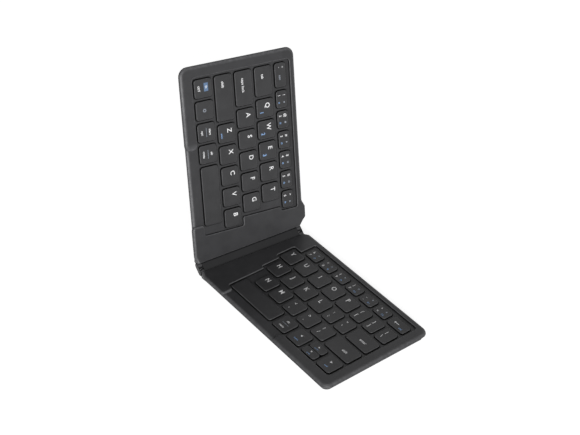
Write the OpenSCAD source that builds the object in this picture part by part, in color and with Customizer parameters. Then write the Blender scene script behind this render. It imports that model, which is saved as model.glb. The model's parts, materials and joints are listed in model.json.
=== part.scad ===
// Folding keyboard. Two halves fold face to face on a narrow spine with a
// pivot along each side. The keys travel in windows of a sunken deck.
// Each half is drawn in its own frame: X away from its pivot, Y towards the
// back and Z up from its underside. "u" runs along a row of keys, away from
// the hinge, and "v" across the rows, towards the back.

/* [Case] */
// Length of each half along its rows, from the hinge to the far edge
half_len = 157.2; // [150:0.1:180]
// Depth of each half, from front to back
half_dep = 97.6; // [95:0.1:115]
// Thickness of each half without its feet
half_thk = 5.9; // [5.5:0.1:8]
// Radius of the two outer corners
corner_r = 7; // [3:0.5:12]
// Angle of the key rows to the line square to the hinge
splay = 5.2; // [3:0.1:6.5]
// Thickness of the bottom shell
floor_t = 1; // [0.8:0.1:1.5]
// Step from the case's edge in to the bottom shell's edge
floor_inset = 2.4; // [2.3:0.1:3]
// How far the undercut of the free edges reaches in at the underside
taper_in = 3; // [2:0.1:3.2]
// Height of the undercut's top above the underside
taper_top = 4; // [3:0.1:4.2]
// How much less the undercut reaches in along the front chamfer and round the corners
taper_less = 0.1; // [0.05:0.05:0.2]
// Thickness of the deck around the keys
deck_t = 0.8; // [0.6:0.1:1.2]
// Depth of the deck below the rim
deck_drop = 1.5; // [1.3:0.1:2]
// Width of the rim along the far edge
rim_far = 9; // [7:0.1:10]
// Width of the rim along the back edge
rim_back = 4.8; // [4.5:0.1:6]
// Width of the rim along the front edge
rim_front = 10.3; // [9:0.1:10.8]
// Length of the front rim, from the far edge
rim_front_len = 64.5; // [30:0.1:80]
// Distance from the hinge to the inner end of the bare front strip
strip_from = 33; // [30:0.5:45]
// How far the port's ear stands proud of the left half's back edge
ear_h = 2.4; // [1.5:0.1:3]
// Distance from the hinge to the ear's top
ear_from = 18; // [17:0.5:20]
// Distance from the hinge to the end of the ear's top
ear_to = 27; // [26.5:0.5:32]
// Length of the ear's slope down to the edge
ear_run = 4.5; // [3:0.5:6]
// Distance from the hinge to the end of the case's front chamfer
lead_front = 8.7; // [6:0.1:12]
// Distance from the hinge to the end of the case's back chamfer
lead_back = 15.5; // [14:0.1:16.5]
// Distance from the hinge to the start of the back edge's undercut
taper_from = 36; // [34:1:50]
// Thickness of the hinge panel's skin
panel_t = 1.2; // [1:0.1:1.6]
// Width of the bay between the hinge and the left half's keys
bay_w = 24.45; // [24:0.05:30]
// Gap between the far rim and the outermost cells of keys
far_gap = 0.5; // [0.4:0.1:1]
// Gap between the number row's keys and the back rim
back_gap = 3.55; // [2:0.05:4]
// Narrow margin of deck beside the inner ends of the rows
side_gap = 0.2; // [0.1:0.1:1]
// Wide margin of deck beside the inner ends of the rows
side_gap_wide = 1.4; // [1:0.1:2]
// Thickness of the wall along the hinge
wall_t = 1.6; // [1.2:0.1:2]
// Thickness of the wall between the bay and the deck
bay_wall = 1.5; // [1:0.1:2]
// How far the space inside reaches under the front rim
front_lap = 0.8; // [0.5:0.1:1.5]

/* [Keys] */
// Pitch of the letter keys, both ways. All cells share out the length and depth of the deck
pitch = 17; // [16.5:0.1:17.2]
// Pitch of the number keys along their row
num_pitch = 16.25; // [15.8:0.05:16.5]
// Depth of the number row's key faces
num_dep = 9.3; // [8:0.1:9.8]
// Pitch of the bracket and backslash keys
slim_pitch = 14.15; // [13.6:0.05:14.3]
// Pitch of the semicolon and quote keys
quote_pitch = 14.1; // [13.5:0.1:14.6]
// Pitch of the alt and arrow keys
arrow_pitch = 17.3; // [16.8:0.1:17.6]
// Cell width of the escape key
esc_w = 21.8; // [18:0.1:22.5]
// Cell width of the tab key
tab_w = 25.5; // [23:0.1:27]
// Cell width of the caps lock key
caps_w = 29.75; // [27:0.05:31]
// Cell width of the left shift key
lshift_w = 38.25; // [35:0.05:38.6]
// Cell width of the left space key
lspace_w = 49.4; // [44:0.1:52]
// Cell width of the backspace key
back_w = 20.3; // [18:0.1:21]
// Cell width of the enter key
enter_w = 26; // [24:0.1:26.5]
// Cell width of the right shift key
rshift_w = 29; // [26:0.1:30]
// Cell width of the right space key
rspace_w = 51.3; // [47:0.1:52]
// Gap between neighbouring key faces
key_gap = 2.7; // [2.2:0.1:3.2]
// Clearance between a key and its window
key_clr = 0.35; // [0.3:0.05:0.5]
// Gap between the stacked up and down keys
pair_gap = 0.6; // [0.4:0.1:0.8]
// Radius of a key's corners
key_r = 2; // [1.2:0.1:2.8]
// Height of a key cap
cap_h = 2.2; // [1.8:0.05:2.25]
// How far a key's top lies below the rim
cap_sunk = 0.3; // [0.2:0.05:0.6]
// Thickness of a key cap's walls and top
cap_wall = 0.9; // [0.7:0.05:1]
// Travel of a key
travel = 1.4; // [1:0.05:1.45]
// Distance from the front edge to the middle of the front row
front_row = 18.55; // [18.2:0.05:19]
// Distance from the middle of the second row to the middle of the number row
num_row = 15.05; // [14.6:0.05:15.2]

/* [Hinge] */
// Opening angle between the two inner faces (180 is flat)
open_angle = 106; // [90:0.5:180]
// Distance between the spine's two pivots
pivot_gap = 5.5; // [5.2:0.1:6]
// Depth of the pivots below the inner faces
pivot_drop = 2.5; // [2.4:0.05:2.55]
// Distance from a pivot to the edge of its half
edge_gap = 2.6; // [2.55:0.05:3.2]
// Radius of the spine's long edges
spine_r = 2.3; // [2:0.05:2.3]
// Distance from the front edge to the front end of the hinge
hinge_front = 2.2; // [1.8:0.1:2.5]
// Length of the hinge from end to end
hinge_len = 93; // [88:0.1:93.3]
// Width of each hinge arm
arm_w = 3.4; // [2.4:0.1:5]
// Length of each hinge arm, from its pivot
arm_len = 9; // [7:0.5:9.5]
// Clearance between each arm and the spine's end
arm_clr = 0.3; // [0.3:0.05:0.6]
// Radius of the hinge pins
pin_r = 1; // [0.7:0.05:1.3]
// Radial clearance of the pins and screws
fit_clr = 0.05; // [0.02:0.01:0.08]

/* [Inside] */
// Clearance around what sits in the halves
inner_clr = 0.3; // [0.2:0.05:0.5]
// Step from the deck's edge in to the key plate
plate_in = 0.5; // [0.4:0.1:1]
// Thickness of the steel key plates
plate_t = 0.4; // [0.3:0.05:0.45]
// Thickness of the switch sheets
sheet_t = 0.3; // [0.2:0.05:0.35]
// Height of the rubber domes when they are pressed flat
dome_h = 1.2; // [0.8:0.1:1.3]
// Radius of the rubber domes
dome_r = 2.1; // [1.5:0.1:2.2]
// Thickness of the main board
board_t = 0.8; // [0.6:0.1:1]
// Width of the main board's long strip
board_w = 8; // [6:0.5:8]
// Distance from the front edge to the front end of the main board
board_from = 16; // [14:0.5:30]
// Clearance of the main board and the battery
board_clr = 0.6; // [0.4:0.1:1]
// Width of each chip
chip_w = 6; // [4:0.5:6.5]
// Thickness of each chip
chip_t = 1; // [0.6:0.1:1.4]
// Distance from the main board's front end to the first chip
chip_from = 10; // [2:1:20]
// Distance between the two chips
chip_gap = 14; // [4:1:30]
// Thickness of the battery
batt_t = 3.4; // [2.5:0.1:3.6]
// Width of the battery
batt_w = 6.5; // [5:0.1:7]
// Length of the battery
batt_l = 56; // [40:1:60]
// Distance from the front edge to the front end of the battery
batt_from = 15; // [13:0.5:17]
// Width of the charging port's shell
port_w = 7.6; // [7:0.1:8]
// Depth of the charging port's shell
port_l = 5.4; // [5:0.1:5.6]
// Height of the charging port's shell
port_h = 2.5; // [2.4:0.1:2.8]
// Thickness of the charging port's shell
port_wall = 0.35; // [0.3:0.05:0.45]
// How far the charging port stays back from the edge
port_back = 0.3; // [0.2:0.1:1]
// Radius of the case screws' shanks
screw_r = 0.7; // [0.5:0.05:0.9]
// Length of the case screws, with their heads
screw_l = 3.6; // [2.5:0.1:4]
// Radius of the case screws' heads
head_r = 1.2; // [1:0.05:1.3]
// Thickness of the case screws' heads
head_t = 0.5; // [0.4:0.05:0.6]
// Distance of the corner screws from the edges
screw_in = 5.3; // [5:0.1:6]
// Distance of the other back screws from the back edge
screw_back = 3.9; // [3.8:0.05:4]
// Distance from the ear to the screw beside it
screw_side = 1.5; // [1:0.5:4]
// Distance from the hinge to the front screw nearest to it
screw_near = 16; // [14:0.5:20]
// Distance of the outer feet from the edges
foot_in = 10; // [8:0.5:20]
// Distance of the inner feet from the hinge and of one from the front edge
foot_near = 15; // [14:0.5:20]
// Radius of the rubber feet
foot_r = 4; // [3:0.25:4.5]
// Height that the rubber feet stand out from the underside
foot_t = 0.6; // [0.4:0.1:1.5]
// Depth of the wells that the rubber feet are set in
foot_well = 0.3; // [0.2:0.1:0.4]

/* [Hidden] */
$fn = 48;
e = 0.01;
lap = 2;
fold = 180 - open_angle;
piv_z = half_thk - pivot_drop;
deck_top = half_thk - deck_drop;
deck_bot = deck_top - deck_t;
// Where the cells of every row start, beside the far rim
key_far = half_len - rim_far - far_gap;
function uv(u, v) = [u * cos(splay) - v * sin(splay), u * sin(splay) + v * cos(splay)];
// The same point along the rows, from its X and Y in the half
function along(x, y) = [x * cos(splay) + y * sin(splay), y * cos(splay) - x * sin(splay)];
org = uv(half_len / 2, half_dep / 2);
// Shares that fit the cells to the deck's length and depth
fit_u = (key_far - bay_w) / (lshift_w + 5 * pitch);
fit_v = (half_dep - rim_back - back_gap - rim_front) /
    (front_row - rim_front + 3 * pitch + num_row + num_dep / 2);

// Rows of keys, number row first, each listed from the far rim to the hinge
L1 = [["key_esc", esc_w], for (i = [1:6]) ["keys_numbers_left", num_pitch]];
L2 = [["key_tab", tab_w], for (k = ["q", "w", "e", "r", "t"]) [str("key_", k), pitch]];
L3 = [["key_caps_lock", caps_w], for (k = ["a", "s", "d", "f", "g"]) [str("key_", k), pitch]];
L4 = [["key_left_shift", lshift_w], for (k = ["z", "x", "c", "v", "b"]) [str("key_", k), pitch]];
L5 = [for (i = [1:4]) ["keys_modifiers_left", pitch], ["key_left_space", lspace_w]];
R1 = [["key_backspace", back_w], for (i = [1:6]) ["keys_numbers_right", num_pitch]];
R2 = [for (i = [1:3]) ["keys_punctuation", slim_pitch],
      for (k = ["p", "o", "i", "u", "y"]) [str("key_", k), pitch]];
R3 = [["key_enter", enter_w], for (i = [1:2]) ["keys_punctuation", quote_pitch],
      for (k = ["l", "k", "j", "h"]) [str("key_", k), pitch]];
R4 = [["key_right_shift", rshift_w], for (i = [1:3]) ["keys_punctuation", pitch],
      for (k = ["m", "n"]) [str("key_", k), pitch]];
R5 = [["keys_arrows", arrow_pitch], ["keys_arrows", arrow_pitch, "pair"],
      ["keys_arrows", arrow_pitch], ["keys_arrows", arrow_pitch], ["key_right_space", rspace_w]];
LEFT = [L1, L2, L3, L4, L5];
RIGHT = [R1, R2, R3, R4, R5];
function row_at(v) = rim_front + (v - rim_front) * fit_v;
row_v = [row_at(front_row + 3 * pitch + num_row), for (r = [3:-1:0]) row_at(front_row + r * pitch)];
row_dep = [num_dep * fit_v, for (r = [1:4]) pitch * fit_v - key_gap];
function near(row, i) = i < 0 ? key_far : near(row, i - 1) - row[i][1] * fit_u;
function row_end(row) = near(row, len(row) - 1);

// Sunken deck: its stepped edge beside the hinge panel, front rows first
EDGE_L = [row_end(L4) - side_gap, row_end(L3) - side_gap_wide, row_end(L3) - side_gap_wide,
    row_end(L1) - side_gap];
EDGE_R = [row_end(R5) - side_gap, row_end(R3) - side_gap_wide, row_end(R2) - side_gap,
    row_end(R1) - side_gap_wide];
deck_u1 = half_len - rim_far;
deck_v1 = half_dep - rim_back;
step_a = (row_v[3] + row_v[2]) / 2;
step_b = (row_v[2] + row_v[1]) / 2;
step_c = (row_v[1] + row_dep[1] / 2 + row_v[0] - row_dep[0] / 2) / 2;

cav_x = edge_gap + wall_t;
cav_u = deck_u1 - inner_clr;
cav_v0 = rim_front - front_lap;
cav_v1 = deck_v1 - inner_clr;
in_x = cav_x + board_clr;
arm_y = [hinge_front, hinge_front + hinge_len - arm_w];
spine_y0 = hinge_front + arm_w + arm_clr;
spine_y1 = hinge_front + hinge_len - arm_w - arm_clr;
arm_top = half_thk - panel_t;
board_u0 = along(in_x + board_w / 2, step_c)[0];
port_u0 = (ear_from + ear_to - port_w) / 2;
board_u1 = port_u0 + port_w;
port_v = half_dep + ear_h - port_l - port_back;
screw_u0 = ear_to + ear_run + screw_side;
screw_u1 = half_len - screw_in;
screw_pos = [[screw_u1, screw_in], [screw_u1, half_dep - screw_in],
    [(screw_u0 + screw_u1) / 2, half_dep - screw_back], [screw_u0, half_dep - screw_back],
    [screw_near, screw_in]];
foot_pos = [[half_len - foot_in, foot_in], [half_len - foot_in, half_dep - foot_in],
    along(foot_near, foot_near), along(foot_near, half_dep - foot_in)];

CASE = [0.24, 0.24, 0.25];
KEY = [0.19, 0.19, 0.2];
STEEL = [0.6, 0.6, 0.62];

// Places what is drawn in a half's frame
module on_right() translate([-org[0], -org[1], 0]) children();
module on_spine() on_right() translate([0, 0, piv_z]) rotate([0, fold / 2, 0]) children();
module on_left() on_spine() translate([-pivot_gap, 0, 0]) rotate([0, fold / 2, 0])
    mirror([1, 0, 0]) translate([0, 0, -piv_z]) children();
module along_rows() rotate([0, 0, splay]) children();
// Extrudes a profile in X and Z from y0 to y1
module along_y(y0, y1) translate([0, y1, 0]) rotate([90, 0, 0]) linear_extrude(y1 - y0) children();

// Plan of one half, drawn in by m on its free edges, with or without the ear
module plan(m, ear) {
    r = corner_r - m;
    u1 = half_len - m;
    v1 = half_dep - m;
    polygon([[edge_gap, hinge_front], uv(lead_front, m), uv(u1 - r, m), uv(u1, m + r),
        uv(u1, v1 - r), uv(u1 - r, v1),
        if (ear) each [uv(ear_to + ear_run, v1), uv(ear_to, v1 + ear_h), uv(ear_from, v1 + ear_h)],
        uv(lead_back, v1), [edge_gap, hinge_front + hinge_len]]);
    for (v = [m + r, v1 - r]) translate(uv(u1 - r, v)) circle(r);
}

// What the undercut takes off along an edge at X = 0, from y0 to y1, drawn in by m
module wedge_plan(m) polygon([[-taper_in - m, 0], [1, 0], [1, (1 + taper_in + m) * taper_top / taper_in]]);
module wedge(y0, y1, m) along_y(y0, y1) wedge_plan(m);

// Undercut of the front chamfer and the front edge. Its parts overlap where they meet
module undercut_front(m) {
    chamfer = uv(lead_front, 0) - [edge_gap, hinge_front];
    translate([edge_gap, hinge_front]) rotate(atan2(chamfer[1], chamfer[0]) - 90)
        wedge(-lap / 2, norm(chamfer) + lap, m - taper_less);
    along_rows() translate([lead_front, 0]) rotate(-90) wedge(-lap, half_len - corner_r - lead_front + lap, m);
}

// Undercut of every free edge
module undercut() {
    undercut_front(0);
    along_rows() {
        translate([half_len, 0]) wedge(corner_r - lap, half_dep - corner_r + lap, 0);
        translate([taper_from, half_dep]) rotate(90) wedge(taper_from + corner_r - half_len - lap, 0, 0);
        for (i = [0, 1]) translate([half_len - corner_r, i ? half_dep - corner_r : corner_r])
            rotate(i ? 0 : -90) rotate_extrude(angle = 90) translate([corner_r, 0]) wedge_plan(-taper_less);
    }
}

// Plan of the deck, along the rows, drawn in by m
module deck_plan(edge, m) {
    steps = [step_a, step_b, step_c];
    polygon([[edge[0] + m, rim_front + m], [deck_u1 - m, rim_front + m], [deck_u1 - m, deck_v1 - m],
        [edge[3] + m, deck_v1 - m], for (i = [2:-1:0]) if (edge[i] != edge[i + 1])
            let (v = steps[i] + (edge[i + 1] > edge[i] ? -m : m))
            each [[edge[i + 1] + m, v], [edge[i] + m, v]]]);
}

module round_rect(u0, u1, v0, v1, r) {
    translate([u0 + r, v0]) square([u1 - u0 - 2 * r, v1 - v0]);
    translate([u0, v0 + r]) square([u1 - u0, v1 - v0 - 2 * r]);
    for (u = [u0 + r, u1 - r], v = [v0 + r, v1 - r]) translate([u, v]) circle(r);
}

// Plan of key i in a row, grown by g
module key_plan(row, i, v, dep, g) {
    u0 = near(row, i) + key_gap / 2 - g;
    u1 = near(row, i - 1) - key_gap / 2 + g;
    round_rect(u0, u1, v - dep / 2 - g, v + dep / 2 + g, max(key_r + g, 0.1));
}

module windows(rows) for (r = [0:4], i = [0:len(rows[r]) - 1])
    key_plan(rows[r], i, row_v[r], row_dep[r], key_clr);

module cap(row, i, v, dep) difference() {
    translate([0, 0, half_thk - cap_sunk - cap_h]) linear_extrude(cap_h) key_plan(row, i, v, dep, 0);
    translate([0, 0, half_thk - cap_sunk - cap_h - 1]) linear_extrude(cap_h + 1 - cap_wall)
        key_plan(row, i, v, dep, -cap_wall);
}

// Every cap of the rows that belongs to the named piece
module caps(rows, name) along_rows() for (r = [0:4], i = [0:len(rows[r]) - 1])
    if (rows[r][i][0] == name) {
        if (rows[r][i][2] == "pair") {
            for (s = [-1, 1]) cap(rows[r], i, row_v[r] + s * (row_dep[r] + pair_gap) / 4,
                (row_dep[r] - pair_gap) / 2);
        } else cap(rows[r], i, row_v[r], row_dep[r]);
    }

module left_keys(name) color(KEY) on_left() caps(LEFT, name);
module right_keys(name) color(KEY) on_right() caps(RIGHT, name);

module screw_plan() along_rows() for (p = screw_pos) translate(p) circle(screw_r + fit_clr);

module top_frame(edge, rows, panel_u, ear) difference() {
    translate([0, 0, floor_t]) linear_extrude(half_thk - floor_t) plan(0, ear);
    undercut();
    // Deck recess, open at the front along the bare strip
    translate([0, 0, deck_top]) linear_extrude(deck_drop + 1) along_rows() {
        deck_plan(edge, 0);
        translate([strip_from, -1]) square([half_len - rim_front_len - strip_from, rim_front + 2]);
    }
    translate([0, 0, deck_bot - 1]) linear_extrude(deck_t + 2) along_rows() windows(rows);
    // Space for the key plate and the switch sheet
    linear_extrude(deck_bot) intersection() {
        translate([cav_x, 0]) square([2 * half_len, 2 * half_dep]);
        along_rows() translate([0, cav_v0]) square([cav_u, cav_v1 - cav_v0]);
    }
    // Space under the hinge panel
    linear_extrude(half_thk - panel_t) intersection() {
        translate([cav_x, 0]) square([2 * half_len, 2 * half_dep]);
        along_rows() translate([0, cav_v0]) square([panel_u, cav_v1 - cav_v0]);
    }
    for (y = arm_y) translate([0, y - inner_clr, 0])
        cube([arm_len + inner_clr, arm_w + 2 * inner_clr, arm_top]);
    linear_extrude(screw_l + inner_clr) screw_plan();
}

module bottom_shell(ear) difference() {
    linear_extrude(floor_t) plan(floor_inset, ear);
    translate([0, 0, -1]) linear_extrude(floor_t + 2) screw_plan();
    along_rows() for (p = screw_pos)
        translate([p[0], p[1], -1]) cylinder(r = head_r + fit_clr, h = head_t + 1);
    along_rows() for (p = foot_pos)
        translate([p[0], p[1], -1]) cylinder(r = foot_r + fit_clr, h = foot_well + 1);
}

module key_plate(edge) translate([0, 0, floor_t]) linear_extrude(plate_t) along_rows()
    deck_plan(edge, plate_in);

// Sheet with one rubber dome under each cap
module switch_sheet(edge, rows) along_rows() {
    translate([0, 0, floor_t + plate_t]) linear_extrude(sheet_t) deck_plan(edge, plate_in);
    for (r = [0:4], i = [0:len(rows[r]) - 1], s = rows[r][i][2] == "pair" ? [-1, 1] : [0])
        translate([(near(rows[r], i) + near(rows[r], i - 1)) / 2,
            row_v[r] + s * (row_dep[r] + pair_gap) / 4, floor_t + plate_t + sheet_t])
            cylinder(r = dome_r, h = dome_h);
}

module screws() along_rows() for (p = screw_pos) translate([p[0], p[1], 0]) {
    cylinder(r = screw_r, h = screw_l);
    cylinder(r = head_r, h = head_t);
}

module feet() along_rows() for (p = foot_pos)
    translate([p[0], p[1], -foot_t]) cylinder(r = foot_r, h = foot_t + foot_well);

module hinge_arms() for (y = arm_y) difference() {
    along_y(y, y + arm_w) {
        translate([0, piv_z]) circle(spine_r);
        translate([0, piv_z - spine_r]) square([cav_x, arm_top - piv_z + spine_r]);
        translate([cav_x - e, floor_t]) square([arm_len - cav_x + e, arm_top - floor_t]);
    }
    along_y(y - 1, y + arm_w + 1) translate([0, piv_z]) circle(pin_r + fit_clr);
    undercut_front(inner_clr);
}

module right_top_frame() color(CASE) on_right() top_frame(EDGE_R, RIGHT, EDGE_R[2] - bay_wall, false);
module right_bottom_shell() color(CASE) on_right() bottom_shell(false);
module right_key_plate() color(STEEL) on_right() key_plate(EDGE_R);
module right_switch_sheet() color([0.1, 0.1, 0.1]) on_right() switch_sheet(EDGE_R, RIGHT);
module battery() color([0.55, 0.57, 0.6]) on_right()
    translate([in_x, batt_from, floor_t]) cube([batt_w, batt_l, batt_t]);
module right_feet() color([0.1, 0.1, 0.1]) on_right() feet();
module right_screws() color(STEEL) on_right() screws();
module right_hinge_arms() color(STEEL) on_right() hinge_arms();

module spine() color([0.2, 0.2, 0.21]) on_spine() along_y(spine_y0, spine_y1) difference() {
    union() {
        for (x = [0, -pivot_gap]) translate([x, 0]) circle(spine_r);
        translate([-pivot_gap, -spine_r]) square([pivot_gap, 2 * spine_r]);
    }
    for (x = [0, -pivot_gap]) translate([x, 0]) circle(pin_r + fit_clr);
}
module hinge_pins() color(STEEL) on_spine() for (x = [0, -pivot_gap])
    along_y(hinge_front, hinge_front + hinge_len) translate([x, 0]) circle(pin_r);

module left_top_frame() color(CASE) on_left() difference() {
    top_frame(EDGE_L, LEFT, EDGE_L[0] - bay_wall, true);
    along_rows() translate([port_u0 - inner_clr, cav_v1 - 1, 0])
        cube([port_w + 2 * inner_clr, half_dep, floor_t + board_t + port_h + inner_clr]);
}
module left_bottom_shell() color(CASE) on_left() bottom_shell(true);
module left_key_plate() color(STEEL) on_left() key_plate(EDGE_L);
module left_switch_sheet() color([0.1, 0.1, 0.1]) on_left() switch_sheet(EDGE_L, LEFT);
// The board runs back beside the hinge, round the back arm and out into the ear
module main_board() color([0.1, 0.35, 0.2]) on_left() translate([0, 0, floor_t]) difference() {
    union() {
        translate([in_x, board_from, 0]) cube([board_w, step_c + board_w - board_from, board_t]);
        along_rows() {
            translate([board_u0, step_c + board_clr, 0])
                cube([board_u1 - board_u0, cav_v1 - step_c - 2 * board_clr, board_t]);
            translate([port_u0, cav_v1 - 2 * board_clr, 0])
                cube([port_w, port_v + port_l - cav_v1 + board_clr, board_t]);
        }
        for (i = [0, 1]) translate([in_x + (board_w - chip_w) / 2,
            board_from + chip_from + i * (chip_w + chip_gap), board_t - e])
            cube([chip_w, chip_w, chip_t + e]);
    }
    translate([0, arm_y[1] - board_clr, -1])
        cube([arm_len + board_clr, arm_w + 2 * board_clr, board_t + 2]);
}
module charging_port() color(STEEL) on_left() along_rows()
    translate([port_u0, port_v, floor_t + board_t]) difference() {
        cube([port_w, port_l, port_h]);
        translate([port_wall, port_wall, port_wall])
            cube([port_w - 2 * port_wall, port_l, port_h - 2 * port_wall]);
    }
module left_feet() color([0.1, 0.1, 0.1]) on_left() feet();
module left_screws() color(STEEL) on_left() screws();
module left_hinge_arms() color(STEEL) on_left() hinge_arms();

module key_esc() left_keys("key_esc");
module keys_numbers_left() left_keys("keys_numbers_left");
module key_tab() left_keys("key_tab");
module key_q() left_keys("key_q");
module key_w() left_keys("key_w");
module key_e() left_keys("key_e");
module key_r() left_keys("key_r");
module key_t() left_keys("key_t");
module key_caps_lock() left_keys("key_caps_lock");
module key_a() left_keys("key_a");
module key_s() left_keys("key_s");
module key_d() left_keys("key_d");
module key_f() left_keys("key_f");
module key_g() left_keys("key_g");
module key_left_shift() left_keys("key_left_shift");
module key_z() left_keys("key_z");
module key_x() left_keys("key_x");
module key_c() left_keys("key_c");
module key_v() left_keys("key_v");
module key_b() left_keys("key_b");
module keys_modifiers_left() left_keys("keys_modifiers_left");
module key_left_space() left_keys("key_left_space");

module keys_numbers_right() right_keys("keys_numbers_right");
module key_backspace() right_keys("key_backspace");
module key_y() right_keys("key_y");
module key_u() right_keys("key_u");
module key_i() right_keys("key_i");
module key_o() right_keys("key_o");
module key_p() right_keys("key_p");
module key_h() right_keys("key_h");
module key_j() right_keys("key_j");
module key_k() right_keys("key_k");
module key_l() right_keys("key_l");
module key_enter() right_keys("key_enter");
module key_n() right_keys("key_n");
module key_m() right_keys("key_m");
module key_right_shift() right_keys("key_right_shift");
module keys_punctuation() right_keys("keys_punctuation");
module key_right_space() right_keys("key_right_space");
module keys_arrows() right_keys("keys_arrows");

right_top_frame();
right_bottom_shell();
right_key_plate();
right_switch_sheet();
battery();
right_feet();
right_screws();
right_hinge_arms();
spine();
hinge_pins();
left_top_frame();
left_bottom_shell();
left_key_plate();
left_switch_sheet();
main_board();
charging_port();
left_feet();
left_screws();
left_hinge_arms();
key_esc();
keys_numbers_left();
key_tab();
key_q();
key_w();
key_e();
key_r();
key_t();
key_caps_lock();
key_a();
key_s();
key_d();
key_f();
key_g();
key_left_shift();
key_z();
key_x();
key_c();
key_v();
key_b();
keys_modifiers_left();
key_left_space();
keys_numbers_right();
key_backspace();
key_y();
key_u();
key_i();
key_o();
key_p();
key_h();
key_j();
key_k();
key_l();
key_enter();
key_n();
key_m();
key_right_shift();
keys_punctuation();
key_right_space();
keys_arrows();
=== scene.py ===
"""Looks of a folding keyboard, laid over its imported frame.

Each half is worked out in its own frame, in millimetres: X runs away from the half's pivot, Y
towards the back and Z up from its underside. "u" runs along the rows of keys, away from the hinge,
and "v" across them, towards the back. placed() carries points to the shared frame, in metres.
"""

import functools
import json
import math

import bmesh
import bpy
import numpy as np
from bpy.props import FloatProperty, FloatVectorProperty, PointerProperty
from mathutils import Matrix, Vector


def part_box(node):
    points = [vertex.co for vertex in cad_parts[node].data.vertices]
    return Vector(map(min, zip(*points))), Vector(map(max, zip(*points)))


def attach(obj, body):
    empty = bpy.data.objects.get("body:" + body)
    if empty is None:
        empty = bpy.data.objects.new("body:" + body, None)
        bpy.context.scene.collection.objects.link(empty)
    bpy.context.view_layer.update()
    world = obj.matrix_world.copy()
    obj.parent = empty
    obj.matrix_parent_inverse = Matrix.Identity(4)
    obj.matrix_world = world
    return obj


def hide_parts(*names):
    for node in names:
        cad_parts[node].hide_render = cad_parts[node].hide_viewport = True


bl_info = {
    "name": "Folding keyboard",
    "version": (1, 0, 0),
    "blender": (4, 5, 0),
    "location": "3D View > Sidebar > Keyboard",
    "description": "Builds the cases, keys, legends and hinge of a folding keyboard over its frame",
    "category": "Object",
}

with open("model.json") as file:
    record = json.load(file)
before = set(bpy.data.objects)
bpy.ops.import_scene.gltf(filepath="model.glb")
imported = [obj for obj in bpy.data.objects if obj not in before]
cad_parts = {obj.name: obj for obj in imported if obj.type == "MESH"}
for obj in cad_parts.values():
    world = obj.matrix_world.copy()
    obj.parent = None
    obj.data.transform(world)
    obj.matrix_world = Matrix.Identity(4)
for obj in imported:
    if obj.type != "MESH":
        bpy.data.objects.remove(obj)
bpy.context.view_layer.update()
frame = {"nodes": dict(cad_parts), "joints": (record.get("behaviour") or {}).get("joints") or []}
MM = 0.001

# --- What the frame gives ---

JOINTS = {joint["name"]: joint for joint in frame["joints"]}
RIGHT_PIVOT = np.array(JOINTS["right_pivot"]["pos_m"]) / MM
LEFT_PIVOT = np.array(JOINTS["left_pivot"]["pos_m"]) / MM
FOLD = -2 * math.radians(JOINTS["right_pivot"]["range_deg"][0])
PIVOT_Z = float(RIGHT_PIVOT[2])
FLOOR, TOP = (corner.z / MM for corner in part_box("right_top_frame"))
KEY_BASE, KEY_TOP = (corner.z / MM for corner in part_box("key_y"))
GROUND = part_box("right_feet")[0].z

# --- Plan of a half, in millimetres ---

SPLAY = math.radians(5.2)
HALF_LEN, HALF_DEP = 157.2, 97.6
HINGE_FRONT, HINGE_LEN, EDGE_GAP = 2.2, 93.0, 2.6
LEAD_FRONT, LEAD_BACK = 8.7, 15.5
EAR_FROM, EAR_TO, EAR_RUN, EAR_H = 18.0, 27.0, 4.5, 2.4
TAPER_IN, TAPER_TOP = 3.0, 4.0
RIM_FAR, RIM_BACK, RIM_FRONT = 9.0, 4.8, 10.3
STRIP = (33.0, HALF_LEN - 64.5)
DECK_Z, DECK_T = TOP - 1.5, 0.8
DECK_U1, DECK_V1 = HALF_LEN - RIM_FAR, HALF_DEP - RIM_BACK
TRAY, TRAY_GAP = (15.0, 150.0, 0.05, 93.9), 0.02
PORT, PORT_DEPTH = (18.6, 26.4, 1.6, 4.45), 6.0
PORT_MARGIN, PORT_LIP = 0.35, 0.25
COVER_R, COVER_T, COVER_GAP = 2.25, 0.35, 0.02
WEB_T, WEB_H = 0.5, 3.6

# How far the deck's plates reach under the rims: at its near edge, its far one and the strip's ends
NEAR_TUCK, FAR_TUCK, STRIP_TUCK = 1.4, 2.0, (2.5, 5)

# Radii of the plan's corners, the strip's from its near front one round to its far front one
CORNER, HINGE_R, LEAD_R, EAR_FOOT_R, EAR_R = 7.0, 0.8, 3.0, 5.0, 2.0
STEP_R, DECK_R, STRIP_R, TRAY_R, PORT_R = 1.5, 2.5, (3.0, 2.2, 3.0, 5.0), 1.0, 0.9

# Heights of the roundings whose widths are settings, and (width, height, crease shade) of the others; a
# crease shade of 1 paints shade below a rounding
EDGE_H, POCKET_H, FAR_POCKET_H, RAMP_H, STRIP_H = 1.9, 1.2, 1.4, 1.5, 1.6
EAR_ROUND, STRIP_END_ROUND, HIDDEN_ROUND = (1.2, 1.2, 0), (2.0, 1.5, 0), (0.5, 0.5, 0)

PITCH, DIGIT_PITCH, ARROW_PITCH = 17.0, 16.25, 17.3
KEY_GAP, CLEARANCE, PAIR_GAP = 2.7, 0.35, 0.6
KEY_R, DIGIT_DEP = 2.0, 9.3
CAP_WALL, CAP_SHOULDER, CAP_LEAST_R = 0.9, 0.3, 0.25
DISH_REACH, DISH_STEPS = 0.45, np.array([0.06, 0.2, 0.4, 0.65, 1])
KEY_FAR = DECK_U1 - 0.5
ROW_V = [84.6, 69.55, 52.55, 35.55, 18.55]
ROW_DEP = [DIGIT_DEP] + [PITCH - KEY_GAP] * 4

# --- Rows of keys, number row first, from the far rim to the hinge ---
# A cell is (node, width, legends), and a legend is (text, share across, share up, height, ink). A
# text that starts with # and has more to it is one of the drawn marks.


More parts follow.
